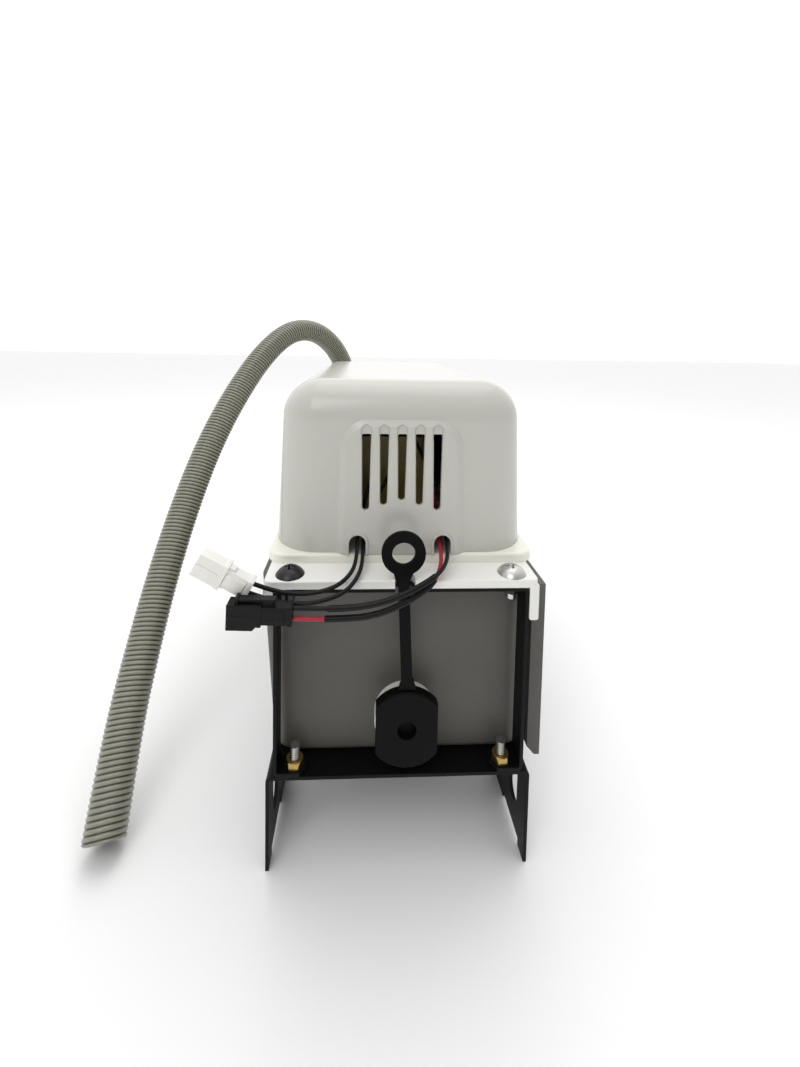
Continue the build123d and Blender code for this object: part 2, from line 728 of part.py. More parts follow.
def pipe_path():
    """From the pump's outlet stub along the tank, then up to the check valve."""
    y0 = motor_y + volute_d / 2 + 12
    z0 = volute_z + volute_h / 2
    points = [(0, y0, z0), (0, y0 + 20, z0), (valve_x, valve_y - 12, z0), (valve_x, valve_y, z0 + 14),
              (valve_x, valve_y, z_lid - 1)]
    return FilletPolyline(*points, radius=[14, 9, 9])


def discharge_pipe():
    path = pipe_path()
    ring = Circle(pipe_od / 2) - Circle(pipe_bore / 2)
    start = Plane(origin=path @ 0, z_dir=path % 0)
    return sweep(start * ring, path)


def check_valve():
    """Hexagon body through the lid, with the ball's chamber over a smaller seat bore."""
    shape = hexagon(valve_x, valve_y, z_top, valve_flat, valve_height)
    shape = chamfer(shape.edges().group_by(Axis.Z)[-1], 1.0)
    shape += rod(valve_x, valve_y, z_lid - 1, z_top + 1, pipe_od)
    shape -= rod(valve_x, valve_y, z_lid - 2, z_top + valve_height + 1, seat_bore)
    shape -= rod(valve_x, valve_y, seat_z(), z_top + valve_height + 1, valve_bore)
    return shape


def seat_z():
    return z_top + 4.0


def ball_centre():
    return seat_z() + math.sqrt((ball_d / 2) ** 2 - (seat_bore / 2) ** 2) + 0.1


def valve_ball():
    return Pos(valve_x, valve_y, ball_centre()) * Sphere(ball_d / 2)


def outlet_barb():
    """Hose tail screwed into the valve, with three barbs; its lower end stops the ball."""
    z0 = z_top + valve_height
    stop = ball_centre() + ball_d / 2 + ball_travel + gap
    profile = [(barb_bore / 2, z0), (barb_core / 2 + 2.5, z0), (barb_core / 2 + 2.5, z0 + 3)]
    step = (barb_height - 3) / 3
    for n in range(3):
        z = z0 + 3 + n * step
        profile += [(hose_bore / 2 - 0.1, z), (barb_core / 2 - 0.8, z + step)]
    profile += [(barb_bore / 2, z0 + barb_height)]
    outline = make_face(Polyline(*profile, close=True))
    shape = revolve(Plane.XZ * outline, Axis.Z)
    shape = Pos(valve_x, valve_y, 0) * shape
    tail = tube(valve_x, valve_y, stop, z0 + 0.5, valve_bore, seat_bore)
    return shape + tail


def round_path(points):
    """Straight runs joined by tangent arcs, each as large as its two runs allow."""
    v = [Vector(*p) for p in points]
    radii = []
    for a, b, c in zip(v, v[1:], v[2:]):
        turn = math.radians((b - a).get_angle(c - b))
        run = min((b - a).length, (c - b).length)
        radii.append(0.45 * run / math.tan(turn / 2))
    return FilletPolyline(*points, radius=radii), radii


def cord(name, points, d, bore=0.0):
    """A plain tube along a route, whose volume is compared with its section times its length."""
    path, radii = round_path(points)
    section = Circle(d / 2) - Circle(bore / 2) if bore else Circle(d / 2)
    shape = sweep(Plane(origin=path @ 0, z_dir=path % 0) * section, path)
    expected = math.pi / 4 * (d ** 2 - bore ** 2) * path.length
    print(f"{name}: length {path.length:.1f}, volume over section times length {shape.volume / expected:.4f}, "
          f"smallest radius {min(radii):.1f}, radii {[round(r, 1) for r in radii]}")
    return shape


# Free routes, from where each leaves the object to its end
hose_route = [
    (valve_x, valve_y, z_top + valve_height + 3), (valve_x, valve_y, 185.5), (-41.5, 103.5, 217),
    (-59, 79, 236), (-78.5, 56.5, 236), (-96.3, 34.5, 216.5), (-111.5, 11, 186.5), (-123, -11, 155),
    (-130, -35, 121.5), (-133.6, -60, 89), (-134.4, -84, 59.5), (-133.4, -107, 33),
    (-128.8, -131.5, 6.4),
]
# Leads, with y from the lid's front edge
alarm_a_route = [
    (-12, 42.4, 164), (-12, 35, 164), (-15.5, 28.5, 156), (-18.5, 24, 146), (-19.7, 18.5, 137.8),
    (-19.8, 10, 132.9), (-21.5, 1, 131.3), (-27, -3.5, 128.2), (-35, -4.4, 126),
    (-43, -4.4, 125.4), (-53, -4.2, 126.6), (-61.89, -4.2, 130.17),
]
alarm_b_route = [
    (-4, 42.4, 164), (-4, 35, 164), (-9.5, 29.5, 156), (-14.5, 26.5, 146), (-16.9, 21, 137.8),
    (-17, 11, 132.9), (-18.2, 0.4, 131), (-24, -5.5, 126.2), (-35.5, -6.4, 122.8),
    (-44.5, -5.4, 121.8), (-54.5, -4.2, 122.9), (-63.95, -4.2, 126.51),
]
power_red_route = [
    (10, 94.6, 187), (10, 78, 190), (11, 58, 191), (12, 42, 187), (13.5, 33, 174),
    (15.5, 29, 160), (17.5, 26.5, 147), (18, 21, 138.3), (17.8, 12, 134.6), (16.2, 3, 132.4),
    (12, -4, 129.2), (4, -8, 125.6), (-6, -10, 121.8), (-15, -11, 119.8), (-24, -11, 119.2),
    (-34.2, -11, 119.05), (-45.5, -11, 119.45),
]
power_black_route = [
    (-10, 94.6, 187), (-10, 78, 190.5), (-6, 58, 193), (2, 42, 190), (9, 32, 178),
    (15.5, 28, 164), (20.3, 26, 151), (21, 21.4, 139.3), (20.8, 13, 136.6), (19, 3.5, 135),
    (14.5, -3.5, 133), (6, -8, 130), (-4, -10.4, 126.8), (-13.5, -11, 124.5), (-23.5, -11, 123.3),
    (-34.2, -11, 123.2), (-45.5, -11, 123.65),
]
red_sleeve_share = (0.68, 0.93)
black_sleeve_share = (0.70, 0.925)


def from_front(points):
    return [(x, front + y, z) for x, y, z in points]


def sleeve(points, share):
    """Shrink sleeve round a stretch of a lead."""
    path, _ = round_path(points)
    part = path.wire().trim(*share)
    ring = Circle(sleeve_d / 2) - Circle(wire_d / 2 + 0.02)
    return sweep(Plane(origin=part @ 0, z_dir=part % 0) * ring, part)


def housing(long, wide, mouth, narrow, tail, depth):
    """Plug housing along X: a wide mouth at the -X end and a narrow tail; x is 0 at the tail."""
    shroud = block(-long, -tail, -depth / 2, depth / 2, -wide / 2, wide / 2)
    shroud = fillet(shroud.edges().filter_by(Axis.X), 0.8)
    body = block(-tail - 0.5, 0, -depth / 2 + 0.6, depth / 2 - 0.6, -narrow / 2, narrow / 2)
    body = fillet(body.edges().filter_by(Axis.X), 0.5)
    shape = shroud + body
    shape -= block(-long - 1, -long + mouth, -depth / 2 + 1, depth / 2 - 1, -wide / 2 + 1, wide / 2 - 1)
    for z in (-way_pitch / 2, way_pitch / 2):
        shape -= Pos(0, 0, z) * Rot(0, 90, 0) * Cylinder(wire_d / 2 + fit, 2 * entry_depth)
    return shape


white_place = Pos(-61.95, front - 4.2, 127.8) * Rot(0, white_tilt, 0)
black_place = Pos(-44.0, front - 11.0, 121.5) * Rot(0, black_tilt, 0)


def white_connector():
    """Two-way housing with a shroud, cable exits at its tail."""
    return white_place * housing(*white_size)


def black_connector():
    """Two-way housing with a latch on its upper side."""
    long, wide, mouth, narrow, tail, depth = black_size
    arm = wide / 2 + latch_gap
    half = latch_width / 2
    latch = block(-tail - mouth, -tail / 2, -half, half, arm, arm + latch_thick)
    latch += block(-tail + latch_gap, -tail / 2, -half, half, narrow / 2 - latch_gap, arm + latch_gap)
    return black_place * (housing(*black_size) + latch)


def contacts(place, size):
    """Two flat blades standing in the housing's mouth."""
    long, _, mouth, _, _, _ = size
    blades = []
    for z in (-way_pitch / 2, way_pitch / 2):
        blade = block(-long + 2.0, -long + mouth, -0.9, 0.9, z - 0.4, z + 0.4)
        blades.append(place * blade)
    return blades


def hose_clamp():
    """Band with a screw block round the hose over the barb."""
    z0 = z_top + valve_height + 8
    outer = hose_od + 2 * clamp_thick
    shape = tube(valve_x, valve_y, z0, z0 + clamp_width, outer, hose_od)
    box = block(valve_x - 5, valve_x + 5, valve_y + outer / 2 - 0.6, valve_y + outer / 2 + 6, z0, z0 + clamp_width)
    return shape + fillet(box.edges().filter_by(Axis.Z), 1.0)


def tank_float():
    """Hollow float block with its guide rod and the magnet that works the reed switches."""
    w, d, h = float_size
    shape = Pos(float_x, float_y, float_z + h / 2) * Box(w, d, h)
    return fillet(shape.edges(), 3)


def float_rod():
    return rod(float_x, float_y, float_z + float_size[2], rod_top, rod_d)


def float_magnet():
    return rod(float_x, float_y, rod_top, rod_top + magnet_h, magnet_d)


def float_guide():
    """Bush in the base that the float's rod slides through."""
    shape = rod(float_x, float_y, z_lid - guide_below, z_base + guide_flange, guide_od)
    shape += rod(float_x, float_y, z_base, z_base + guide_flange, guide_flange_d)
    return shape - rod(float_x, float_y, z_lid - 2 * guide_below, z_base + 2 * guide_flange, rod_d + 2 * fit)


def switch_board():
    """Circuit board on edge in front of the rod, on a foot bracket."""
    w, t, h = board_size
    y1 = float_y - board_gap
    shape = block(float_x - w / 2, float_x + w / 2, y1 - t, y1,
                  z_base + board_seat, z_base + board_seat + h)
    return fillet(shape.edges().filter_by(Axis.Y), 1.5)


def board_bracket():
    """Slotted plastic foot that holds the board upright."""
    w, t, h = board_size
    y1 = float_y - board_gap
    wide = w / 2 + bracket_margin
    slot = w / 2 + 2 * fit
    shape = block(float_x - wide, float_x + wide, y1 - t - bracket_margin, y1 + board_seat,
                  z_base, z_base + bracket_h)
    return shape - block(float_x - slot, float_x + slot, y1 - t - 2 * fit, y1 + 2 * fit,
                         z_base + board_seat, z_base + 2 * bracket_h)


def reed_switches():
    """Run and alarm reed tubes on the board's rear face."""
    y = float_y - board_gap + reed_d / 2
    tubes = []
    for step in reed_steps:
        body = Pos(float_x, y, rod_top + magnet_h / 2 + step) * Rot(0, 90, 0) * Cylinder(reed_d / 2, reed_length)
        tubes.append(body)
    return tubes


def motor_screws():
    """Three screws through the column's flange into the base."""
    screw = domed_screw(2 * column_screw_d, 2 * column_screw_d / 3, column_flange + column_screw_d, column_screw_d)
    return [Pos(x, y, z_base + column_flange) * screw for x, y in column_screw_places()]


def model():
    """Every piece by its node's name."""
    front_saddle, front_hoop = saddle(), hoop()
    return {
        "front_saddle": front_saddle,
        "rear_saddle": to_rear(front_saddle),
        "front_hoop": front_hoop,
        "rear_hoop": to_rear(front_hoop),
        "saddle_bolts": saddle_bolts(),
        "saddle_nuts": saddle_nuts(),
        "tank": tank(),
        "wall_plate": wall_plate(),
        "tank_port": tank_port(),
        "port_cap": port_cap(),
        "cap_strap": cap_strap(),
        "lid": lid(),
        "inlet_fitting": inlet_fitting(),
        "lid_gasket": lid_gasket(),
        "lid_screws_black": lid_screws([(-1, -1), (1, 1)]),
        "lid_screws_zinc": lid_screws([(1, -1), (-1, 1)]),
        "lid_nuts": lid_nuts(),
        "motor_base": motor_base(),
        "base_screws": base_screws(),
        "motor_cover": motor_cover(),
        "pump_column": pump_column(),
        "motor_screws": motor_screws(),
        "lower_bell": end_bell(z_can - bell_thick, False),
        "upper_bell": end_bell(z_bell, True),
        "motor_can": motor_can(),
        "field_magnets": field_magnets(),
        "lower_bearing": bearing(z_can - bell_thick),
        "upper_bearing": bearing(z_bell),
        "motor_shaft": motor_shaft(),
        "armature": armature(),
        "cooling_fan": cooling_fan(),
        "impeller": impeller(),
        "volute": volute(),
        "strainer": strainer(),
        "discharge_pipe": discharge_pipe(),
        "check_valve": check_valve(),
        "valve_ball": valve_ball(),
        "outlet_barb": outlet_barb(),
        "hose_clamp": hose_clamp(),
        "tank_float": tank_float(),
        "float_rod": float_rod(),
        "float_magnet": float_magnet(),
        "float_guide": float_guide(),
        "switch_board": switch_board(),
        "board_bracket": board_bracket(),
        "reed_switches": reed_switches(),
        "hose": cord("hose", hose_route, hose_od, hose_bore),
        "alarm_lead_a": cord("alarm_lead_a", from_front(alarm_a_route), wire_d),
        "alarm_lead_b": cord("alarm_lead_b", from_front(alarm_b_route), wire_d),
        "power_lead_red": cord("power_lead_red", from_front(power_red_route), wire_d),
        "power_lead_black": cord("power_lead_black", from_front(power_black_route), wire_d),
        "red_lead_sleeve": sleeve(from_front(power_red_route), red_sleeve_share),
        "black_lead_sleeve": sleeve(from_front(power_black_route), black_sleeve_share),
        "white_connector": white_connector(),
        "white_contacts": contacts(white_place, white_size),
        "black_connector": black_connector(),
        "black_contacts": contacts(black_place, black_size),
    }


def write(nodes):
    """One file a node, with the middle of the body's width at X 0."""
    os.makedirs("parts", exist_ok=True)
    for name, shape in nodes.items():
        solids = shape if isinstance(shape, list) else [shape]
        moved = [Pos(-side_shift, 0, 0) * s for s in solids]
        export_step(moved[0] if len(moved) == 1 else Compound(moved), f"parts/{name}.step")


write(model())
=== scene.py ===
"""Looks for a small condensate pump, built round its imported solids.

The sections follow the pump as it is put together: ground and camera, sheet steel, tank, port and
cap, lid, motor cover, what is inside, hose, then the leads and their plugs. Sizes are in metres.
"""
import math

import bmesh
import bpy
from mathutils import Matrix, Vector


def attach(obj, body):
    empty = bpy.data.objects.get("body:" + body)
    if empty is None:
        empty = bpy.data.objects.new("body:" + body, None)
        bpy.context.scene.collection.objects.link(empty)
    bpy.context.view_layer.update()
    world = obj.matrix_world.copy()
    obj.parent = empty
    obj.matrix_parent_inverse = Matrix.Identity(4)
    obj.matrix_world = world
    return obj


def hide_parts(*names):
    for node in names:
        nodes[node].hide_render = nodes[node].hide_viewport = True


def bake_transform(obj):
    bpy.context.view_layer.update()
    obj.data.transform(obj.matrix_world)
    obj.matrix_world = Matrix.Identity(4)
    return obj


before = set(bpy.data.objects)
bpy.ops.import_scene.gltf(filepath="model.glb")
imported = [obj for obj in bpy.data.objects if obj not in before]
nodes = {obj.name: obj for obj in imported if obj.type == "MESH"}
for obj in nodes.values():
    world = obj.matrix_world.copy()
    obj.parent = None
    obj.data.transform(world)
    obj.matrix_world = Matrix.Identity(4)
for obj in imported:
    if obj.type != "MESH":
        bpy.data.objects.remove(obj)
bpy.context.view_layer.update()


# Camera: a wide lens close to the front edge, a little left of the middle, looking slightly down.
# Its place and turn were worked out from the corners of the lid, cover and saddle in the photograph.
eye = Vector((-0.01929, -0.3225, 0.2282))
heading, pitch, roll = math.radians(2.71), math.radians(-3.52), math.radians(1.05)
camera_data = bpy.data.cameras.new("camera")
camera = bpy.data.objects.new("camera", camera_data)
bpy.context.scene.collection.objects.link(camera)
bpy.context.scene.camera = camera
camera_data.sensor_width = 36.0
camera_data.lens = 15.25
camera_data.shift_x = 0.0136
camera_data.shift_y = -0.1544
camera_data.clip_start = 0.01
camera.matrix_world = (
    Matrix.Translation(eye)
    @ Matrix.Rotation(-heading, 4, "Z")
    @ Matrix.Rotation(math.pi / 2 + pitch, 4, "X")
    @ Matrix.Rotation(roll, 4, "Z")
)


# Ground and light: a plain pale floor under a white sky that lights less from the front, a large soft
# lamp above, and a smaller one from the left front, which draws the highlights on cover and hose.
bpy.context.scene.view_settings.view_transform = "Standard"
world = bpy.data.worlds.new("studio")
bpy.context.scene.world = world
world.use_nodes = True
sky = world.node_tree
sky_place = sky.nodes.new("ShaderNodeTexCoord")
sky_side = sky.nodes.new("ShaderNodeVectorMath")
sky_fall = sky.nodes.new("ShaderNodeMapRange")
sky_seen = sky.nodes.new("ShaderNodeLightPath")
sky_strength = sky.nodes.new("ShaderNodeMath")
sky_side.operation = "DOT_PRODUCT"
sky_side.inputs[1].default_value = (0, 0.7, 0.7)
for socket, value in {"From Min": -0.55, "From Max": 1.0, "To Min": 0.02, "To Max": 1.42}.items():
    sky_fall.inputs[socket].default_value = value
sky_strength.operation = "MAXIMUM"
background = sky.nodes["Background"]
background.inputs["Color"].default_value = (1, 1, 1, 1)
for source, target in (
    (sky_place.outputs["Generated"], sky_side.inputs[0]),
    (sky_side.outputs["Value"], sky_fall.inputs["Value"]),
    (sky_fall.outputs["Result"], sky_strength.inputs[0]),
    (sky_seen.outputs["Is Camera Ray"], sky_strength.inputs[1]),
    (sky_strength.outputs["Value"], background.inputs["Strength"]),
):
    sky.links.new(source, target)


def painted(name, color, roughness, metallic=0.0):
    """A new material with a plain shader, whose other sockets its own section sets."""
    made = bpy.data.materials.new(name)
    made.use_nodes = True
    shader = made.node_tree.nodes["Principled BSDF"]
    shader.inputs["Base Color"].default_value = (*color, 1)
    shader.inputs["Roughness"].default_value = roughness
    shader.inputs["Metallic"].default_value = metallic
    return made


def piece_from(name, shape, finish):
    """An object made from a bmesh, at the origin, with its finish."""
    bmesh.ops.recalc_face_normals(shape, faces=shape.faces)
    mesh = bpy.data.meshes.new(name)
    shape.to_mesh(mesh)
    shape.free()
    mesh.materials.append(finish)
    piece = bpy.data.objects.new(name, mesh)
    bpy.context.scene.collection.objects.link(piece)
    return piece


floor_shape = bmesh.new()
bmesh.ops.create_grid(floor_shape, x_segments=2, y_segments=2, size=6.0)
floor = piece_from("floor", floor_shape, painted("pale_floor", (0.97, 0.97, 0.97), 0.7))


def soft_lamp(name, place, aim, size, power):
    """A square area lamp that faces a point."""
    data = bpy.data.lights.new(name, "AREA")
    data.size = size
    data.energy = power
    lamp = bpy.data.objects.new(name, data)
    bpy.context.scene.collection.objects.link(lamp)
    lamp.location = place
    lamp.rotation_euler = (Vector(aim) - Vector(place)).to_track_quat("-Z", "Y").to_euler()


soft_lamp("top_lamp", (0.1, 0.25, 1.5), (0, 0, 0.1), 1.2, 4)
soft_lamp("front_lamp", (-0.45, -1.0, 1.15), (0, 0, 0.12), 0.8, 4.6)


# Surface effects that several materials share: a skin's fine grain, slight clouds in the colour,
# roughness that wanders a little and softly rounded edges, from noise on the object's own sizes.
skin = bpy.data.node_groups.new("skin", "ShaderNodeTree")
for socket, kind, start in (
    ("Color", "NodeSocketColor", (0.8, 0.8, 0.8, 1)), ("Shade", "NodeSocketColor", (0.6, 0.6, 0.6, 1)),
    ("Cloud size", "NodeSocketFloat", 40.0), ("Cloud share", "NodeSocketFloat", 0.3),
    ("Grain size", "NodeSocketFloat", 900.0), ("Grain height", "NodeSocketFloat", 0.1),
    ("Roughness", "NodeSocketFloat", 0.4), ("Roughness spread", "NodeSocketFloat", 0.1),
    ("Edge", "NodeSocketFloat", 0.0004),
):
    made_socket = skin.interface.new_socket(socket, in_out="INPUT", socket_type=kind)
    made_socket.default_value = start
skin.interface.new_socket("Color", in_out="OUTPUT", socket_type="NodeSocketColor")
skin.interface.new_socket("Roughness", in_out="OUTPUT", socket_type="NodeSocketFloat")
skin.interface.new_socket("Normal", in_out="OUTPUT", socket_type="NodeSocketVector")


def wire(tree, source, target):
    """Joins an output to an input of the same tree."""
    tree.links.new(source, target)


def added(tree, kind, **settings):
    """A new node with its settings, such as operation."""
    node = tree.nodes.new(kind)
    for key, value in settings.items():
        setattr(node, key, value)
    return node


group_in = added(skin, "NodeGroupInput")
group_out = added(skin, "NodeGroupOutput")
place_node = added(skin, "ShaderNodeTexCoord")
clouds = added(skin, "ShaderNodeTexNoise")
grain = added(skin, "ShaderNodeTexNoise")
clouds.inputs["Detail"].default_value = 4.0
grain.inputs["Detail"].default_value = 3.0
share = added(skin, "ShaderNodeMath", operation="MULTIPLY")
tint = added(skin, "ShaderNodeMix", data_type="RGBA")
spread = added(skin, "ShaderNodeMath", operation="MULTIPLY_ADD")
bump = added(skin, "ShaderNodeBump")
bump.inputs["Distance"].default_value = 0.0002
edge = added(skin, "ShaderNodeBevel", samples=6)
wire(skin, group_in.outputs["Edge"], edge.inputs["Radius"])
wire(skin, edge.outputs["Normal"], bump.inputs["Normal"])
for texture, size in ((clouds, "Cloud size"), (grain, "Grain size")):
    wire(skin, place_node.outputs["Object"], texture.inputs["Vector"])
    wire(skin, group_in.outputs[size], texture.inputs["Scale"])
wire(skin, clouds.outputs["Fac"], share.inputs[0])
wire(skin, group_in.outputs["Cloud share"], share.inputs[1])
wire(skin, share.outputs[0], tint.inputs["Factor"])
wire(skin, group_in.outputs["Color"], tint.inputs[6])
wire(skin, group_in.outputs["Shade"], tint.inputs[7])
wire(skin, tint.outputs[2], group_out.inputs["Color"])
wire(skin, clouds.outputs["Fac"], spread.inputs[0])
wire(skin, group_in.outputs["Roughness spread"], spread.inputs[1])
wire(skin, group_in.outputs["Roughness"], spread.inputs[2])
wire(skin, spread.outputs[0], group_out.inputs["Roughness"])
wire(skin, grain.outputs["Fac"], bump.inputs["Height"])
wire(skin, group_in.outputs["Grain height"], bump.inputs["Strength"])
wire(skin, bump.outputs["Normal"], group_out.inputs["Normal"])


def skinned(name, color, shade, roughness, cloud_size=40.0, cloud_share=0.5, grain_size=900.0,
            grain_height=0.1, spread_share=0.1, metallic=0.0, edge_radius=0.0004, gloss=0.5):
    """A material whose colour, roughness and fine relief come from the skin group."""
    made = painted(name, color, roughness, metallic)
    tree = made.node_tree
    group = tree.nodes.new("ShaderNodeGroup")
    group.node_tree = skin
    values = {
        "Color": (*color, 1), "Shade": (*shade, 1), "Cloud size": cloud_size, "Cloud share": cloud_share,
        "Grain size": grain_size, "Grain height": grain_height, "Roughness": roughness - spread_share / 2,
        "Roughness spread": spread_share, "Edge": edge_radius,
    }
    for key, value in values.items():
        group.inputs[key].default_value = value
    shader = tree.nodes["Principled BSDF"]
    shader.inputs["Specular IOR Level"].default_value = gloss
    wire(tree, group.outputs["Color"], shader.inputs["Base Color"])
    wire(tree, group.outputs["Roughness"], shader.inputs["Roughness"])
    wire(tree, group.outputs["Normal"], shader.inputs["Normal"])
    return made


def shader_of(finish):
    """A material's own shader."""
    return finish.node_tree.nodes["Principled BSDF"]


def dress(finish, slot_name, *names):
    """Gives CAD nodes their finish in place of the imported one."""
    for name in names:
        mesh = nodes[name].data
        mesh.materials.clear()
        mesh.materials.append(finish)


# Saddles and hoops: 1.5 mm sheet steel, punched, bent and powder coated in satin black. The hoops
# are bolted to the saddles and hold the tank and the lid together.
black_coat = skinned("black_coat", (0.0035, 0.0035, 0.004), (0.007, 0.007, 0.007), 0.42, cloud_size=25,
                     grain_size=1400, grain_height=0.3, spread_share=0.14, gloss=0.12)
dress(black_coat, "black_steel", "front_saddle", "rear_saddle", "front_hoop", "rear_hoop")


# Fasteners: zinc bolts through the saddles with yellow passivated nuts, and truss-head screws in
# the lid, two black and two bright.
zinc = skinned("zinc", (0.62, 0.62, 0.60), (0.45, 0.45, 0.44), 0.28, cloud_size=300, grain_size=2500,
               grain_height=0.2, metallic=1.0)
yellow_zinc = skinned("yellow_zinc", (0.55, 0.40, 0.14), (0.36, 0.25, 0.08), 0.30, cloud_size=350,
                      grain_size=2500, grain_height=0.15, metallic=1.0)
black_oxide = skinned("black_oxide", (0.018, 0.018, 0.020), (0.03, 0.03, 0.03), 0.3, cloud_size=200,
                      grain_size=2500, grain_height=0.15, metallic=0.4)

# The saddle bolts' thread shows above the nuts, so their own zinc has a wave of the thread's pitch.
thread_zinc = skinned("thread_zinc", (0.60, 0.60, 0.58), (0.40, 0.40, 0.39), 0.3, cloud_size=300,
                      grain_size=2500, grain_height=0.2, metallic=1.0, edge_radius=0.0)
thread_tree, thread_pitch = thread_zinc.node_tree, 0.0008
thread_place = added(thread_tree, "ShaderNodeTexCoord")
thread_wave = added(thread_tree, "ShaderNodeTexWave", bands_direction="Z")
thread_wave.inputs["Scale"].default_value = math.pi / 10 / thread_pitch
thread_bump = added(thread_tree, "ShaderNodeBump")
thread_bump.inputs["Distance"].default_value = 0.0004
wire(thread_tree, thread_place.outputs["Object"], thread_wave.inputs["Vector"])
wire(thread_tree, thread_wave.outputs["Fac"], thread_bump.inputs["Height"])
wire(thread_tree, thread_bump.outputs["Normal"], shader_of(thread_zinc).inputs["Normal"])
dress(thread_zinc, "zinc", "saddle_bolts")
dress(zinc, "zinc", "lid_screws_zinc", "base_screws", "motor_screws", "hose_clamp")
dress(yellow_zinc, "brass_hardware", "saddle_nuts")
dress(black_oxide, "black_screw", "lid_screws_black", "lid_nuts")


# Tank and wall plate: one grey moulding in two pieces, with a soft matt skin and faint clouds.
tank_grey = skinned("tank_grey", (0.130, 0.124, 0.113), (0.088, 0.083, 0.075), 0.55, cloud_size=22,
                    cloud_share=0.8, grain_size=1100, grain_height=0.35, spread_share=0.15, gloss=0.35)
dress(tank_grey, "grey_plastic", "tank", "wall_plate")


# Side port, and its stopper of black rubber on a strap with a ring.
cream = skinned("cream", (0.93, 0.93, 0.84), (0.88, 0.875, 0.77), 0.26, cloud_size=30)
rubber = skinned("rubber", (0.002, 0.002, 0.002), (0.005, 0.005, 0.005), 0.55, cloud_size=60,
                 grain_size=1800, grain_height=0.5, edge_radius=0.0005, gloss=0.1)
dress(cream, "cream_plastic", "tank_port", "motor_base")
dress(rubber, "black_rubber", "port_cap")

# The strap is moulded with the stopper. It bends where the stopper is drawn, so it gets cross cuts
# between its ring, which stays on the pump, and its foot, which goes with the stopper.
strap_top, strap_foot, strap_cuts = 0.124, 0.080, 22
strap_shape = bmesh.new()
strap_shape.from_mesh(nodes["cap_strap"].data)
bmesh.ops.remove_doubles(strap_shape, verts=strap_shape.verts, dist=1e-6)
for n in range(strap_cuts + 1):
    cut = strap_foot + (strap_top - strap_foot) * n / strap_cuts
    bmesh.ops.bisect_plane(strap_shape, geom=strap_shape.verts[:] + strap_shape.edges[:] + strap_shape.faces[:],
                           plane_co=(0, 0, cut), plane_no=(0, 0, 1))
strap = piece_from("strap", strap_shape, rubber)
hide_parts("cap_strap")
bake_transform(strap)


# Lid and its gasket: a warm white moulding over a frame of black foam.
lid_white = skinned("lid_white", (0.90, 0.895, 0.86), (0.85, 0.84, 0.79), 0.3, cloud_size=20, cloud_share=0.6)
foam = skinned("foam", (0.03, 0.03, 0.032), (0.06, 0.06, 0.06), 0.9, cloud_size=900, grain_size=1500,
               grain_height=0.8)
dress(lid_white, "lid_plastic", "lid")
dress(foam, "foam", "lid_gasket")


# Motor cover: one white glossy moulding with soft corners, which sits on the cream flange and whose
# slots and wire arches are in its front.
cover_white = skinned("cover_white", (0.59, 0.582, 0.535), (0.555, 0.545, 0.495), 0.2, cloud_size=12,
                      cloud_share=0.6, grain_height=0.04, spread_share=0.05, edge_radius=0.0006)
dress(cover_white, "white_plastic", "motor_cover")


# Inside and behind: motor, pump, check valve with its ball, inlet, and the float switch. They are
# turned, plated or moulded pieces that show only through the slots or when a piece is taken off.
natural = skinned("natural_plastic", (0.74, 0.72, 0.62), (0.66, 0.64, 0.54), 0.4)
off_white = skinned("valve_plastic", (0.78, 0.76, 0.68), (0.72, 0.70, 0.62), 0.35)
turned_steel = skinned("turned_steel", (0.50, 0.50, 0.51), (0.40, 0.40, 0.41), 0.3, metallic=1.0)
can_steel = skinned("can_steel", (0.42, 0.43, 0.44), (0.30, 0.31, 0.32), 0.35, metallic=1.0)
ferrite = skinned("ferrite", (0.06, 0.06, 0.065), (0.09, 0.09, 0.09), 0.55)
bronze = skinned("bronze", (0.42, 0.28, 0.12), (0.32, 0.20, 0.08), 0.45, metallic=1.0)
stack = skinned("lamination", (0.22, 0.22, 0.23), (0.15, 0.15, 0.16), 0.4, metallic=0.8)
fan_black = skinned("fan_black", (0.02, 0.02, 0.022), (0.03, 0.03, 0.03), 0.45)
cell_foam = skinned("float_foam", (0.80, 0.77, 0.68), (0.70, 0.67, 0.58), 0.8, grain_size=700,
                    grain_height=0.7)
laminate = skinned("board", (0.32, 0.26, 0.06), (0.26, 0.20, 0.05), 0.4)
clear_glass = painted("clear_glass", (0.80, 0.88, 0.85), 0.05)
shader_of(clear_glass).inputs["Transmission Weight"].default_value = 0.8
dress(natural, "natural_plastic", "pump_column", "impeller", "volute", "strainer", "discharge_pipe",
      "float_guide", "board_bracket")
dress(off_white, "valve_plastic", "check_valve", "outlet_barb", "inlet_fitting")
dress(turned_steel, "steel", "motor_shaft", "valve_ball", "float_rod")
dress(can_steel, "can_steel", "motor_can", "lower_bell", "upper_bell")
dress(ferrite, "magnet", "field_magnets", "float_magnet")
dress(bronze, "bronze", "lower_bearing", "upper_bearing")
dress(stack, "lamination", "armature")
dress(fan_black, "black_plastic", "cooling_fan")
dress(cell_foam, "float_foam", "tank_float")
dress(laminate, "board", "switch_board")
dress(clear_glass, "glass_tube", "reed_switches")


# Spring hose: clear vinyl moulded over a steel helix, pushed on the valve's tail. It stands up out of
# the valve, arches over to the left front and hangs to the ground, where its end is cut square.
side_shift = 0.00155


def in_frame(points):
    """Route points of the part's source, with its sideways shift taken off."""
    return [(x - side_shift, y, z) for x, y, z in points]


